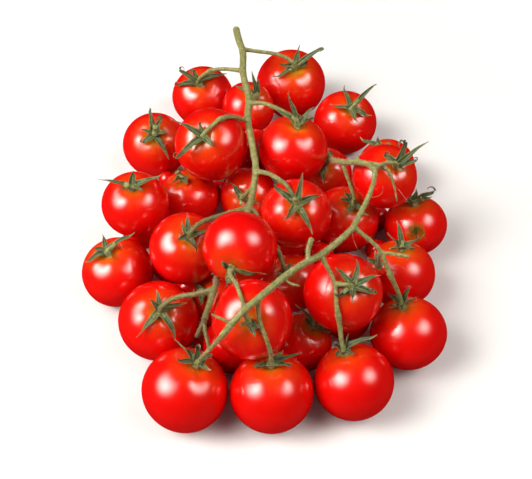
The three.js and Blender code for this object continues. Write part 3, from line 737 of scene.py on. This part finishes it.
vines = {}
for node in ("stem_upper", "stem_lower"):
    solid = merged_copy(node)
    blades = find_blades(solid)
    stars = {}
    for blade in blades:
        stars.setdefault(owner_of(blade), []).append(blade)
    for owner, held in stars.items():
        bm = bmesh.new()
        layers = {layer: bm.verts.layers.float.new(layer) for layer in BLADE_LAYERS}
        for blade in held:
            add_blade(bm, layers, fruits[owner], blade, draw)
        finish_calyx(owner.replace("fruit", "star"), None, bm)
    replaced = {vert for blade in blades for vert in blade["outer"]}
    bmesh.ops.delete(solid, geom=list(replaced), context="VERTS")
    open_edges = [edge for edge in solid.edges if edge.is_boundary]
    bmesh.ops.holes_fill(solid, edges=open_edges, sides=0)
    mesh = bpy.data.meshes.new(node)
    solid.to_mesh(mesh)
    solid.free()
    rough = place(node + "_rough", mesh)
    remesh = rough.modifiers.new("even_skin", "REMESH")
    remesh.mode = "VOXEL"
    remesh.voxel_size = VINE_GRID
    rounding = rough.modifiers.new("rounding", "SMOOTH")
    rounding.factor = 0.5
    rounding.iterations = VINE_SMOOTHING
    even = bpy.data.meshes.new_from_object(rough.evaluated_get(bpy.context.evaluated_depsgraph_get()))
    bpy.data.objects.remove(rough)
    bm = bmesh.new()
    bm.from_mesh(even)
    bm.normal_update()
    for vert in bm.verts:
        bumps = noise.noise(vert.co * VINE_WANDER_SCALE) + 0.5 * noise.noise(vert.co * VINE_WANDER_SCALE * 4)
        vert.co += vert.normal * (VINE_SWELL[node] + VINE_WANDER * bumps)
    bm.normal_update()
    cut_layer = bm.verts.layers.float.new("cut")
    old_layer = bm.verts.layers.float.new("old")
    for pixel in CUT_ENDS[node]:
        end = nearest_to_sight(bm.verts, pixel)
        around = [vert.co for vert in bm.verts if (vert.co - end.co).length < CUT_LOOK]
        outward = (end.co - sum(around, Vector()) / len(around)).normalized()
        for vert in bm.verts:
            reach = (vert.co - end.co).length
            if reach < CUT_REACH and vert.normal.dot(outward) > CUT_FACING:
                vert[cut_layer] = 1
    for vert in bm.verts:
        aged = max(0, min(1, (OLD_WOOD_FROM - vert.co.y) / OLD_WOOD_SPAN))
        vert[old_layer] = aged if node == OLD_WOOD_STEM else 0
    for face in bm.faces:
        face.smooth = True
    hairs = bmesh.new()
    tuft = bmesh.new()
    hair_mesh = bpy.data.meshes.new(node.replace("stem", "hairs"))
    skin_faces = list(bm.faces)
    for hair in range(HAIR_COUNT):
        face = draw.choice(skin_faces)
        lean = Vector((draw.uniform(-1, 1), draw.uniform(-1, 1), draw.uniform(-1, 1))) * HAIR_LEAN
        heading = (face.normal + lean).normalized()
        length = draw.uniform(*HAIR_LENGTH)
        middle = face.calc_center_median() + heading * length * HAIR_SINK
        turn = heading.to_track_quat("Z", "Y").to_matrix().to_4x4()
        bmesh.ops.create_cone(tuft, segments=3, radius1=HAIR_RADIUS, radius2=0, depth=length,
                              matrix=Matrix.Translation(middle) @ turn)
        if (hair + 1) % TUFT_SIZE == 0:
            tuft.to_mesh(hair_mesh)
            hairs.from_mesh(hair_mesh)
            tuft.clear()
    hairs.to_mesh(hair_mesh)
    hairs.free()
    tuft.free()
    hair_mesh.materials.append(hair_pale)
    hair_coat = place(node.replace("stem", "hairs"), hair_mesh)
    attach(hair_coat, "root")
    bm.to_mesh(even)
    bm.free()
    even.materials.clear()
    even.materials.append(stalk_green)
    vines[node] = place(node.replace("stem", "vine"), even)
    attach(vines[node], "root")
    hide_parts(node)

# Dry threads are the withered ends of bracts and flower stalks: thin brown curls that still hang on
# the lower stem where the flowers dropped.
WISPS = (
    ((352, 233), (354, 241), (358, 250), (364, 258)),
    ((370, 198), (377, 196.5), (382, 193), (383, 186)),
    ((393, 184), (399, 190), (405, 198), (412, 205)),
    ((388, 268), (392, 266), (398, 265), (405, 269)),
)
WISP_RADIUS = 0.0001
WISP_ROOT = 1.5
WISP_STEPS = 24

thread_curve = bpy.data.curves.new("dry_threads", "CURVE")
thread_curve.dimensions = "3D"
thread_curve.bevel_depth = WISP_RADIUS
thread_curve.bevel_resolution = 2
thread_curve.use_fill_caps = True
for wisp in WISPS:
    root = nearest_to_sight(vines["stem_lower"].data.vertices, wisp[0]).co.copy()
    depth = (root - camera.location).length
    line = [root]
    for pixel in wisp[1:]:
        line.append(clear_of_skin(camera.location + sight(pixel) * depth, WISP_RADIUS * 2))
    spline = thread_curve.splines.new("POLY")
    spline.points.add(WISP_STEPS)
    for step, point in enumerate(spline.points):
        share = step / WISP_STEPS
        point.co = (*on_curve(line, share), 1)
        point.radius = WISP_ROOT - share
holder = place("dry_threads_line", thread_curve)
thread_mesh = bpy.data.meshes.new_from_object(holder.evaluated_get(bpy.context.evaluated_depsgraph_get()))
bpy.data.objects.remove(holder)
dry_brown, tree, shader = new_finish("dry_thread")
on_object = wire(tree, "TexCoord").outputs["Object"]
withered = speckle_noise(tree, on_object, 500.0, 4.0)
brown = ramp(tree, withered, ((0.3, (0.11, 0.065, 0.025)), (0.7, (0.46, 0.36, 0.19))))
tree.links.new(brown, shader.inputs["Base Color"])
tree.links.new(scaled(tree, withered, 0.6, 0.85), shader.inputs["Roughness"])
wrinkles = wire(tree, "Bump", {"Height": withered, "Strength": 0.5, "Distance": 0.0002})
tree.links.new(wrinkles.outputs["Normal"], shader.inputs["Normal"])
thread_mesh.materials.clear()
thread_mesh.materials.append(dry_brown)
dry_threads = place("dry_threads", thread_mesh)
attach(dry_threads, "root")
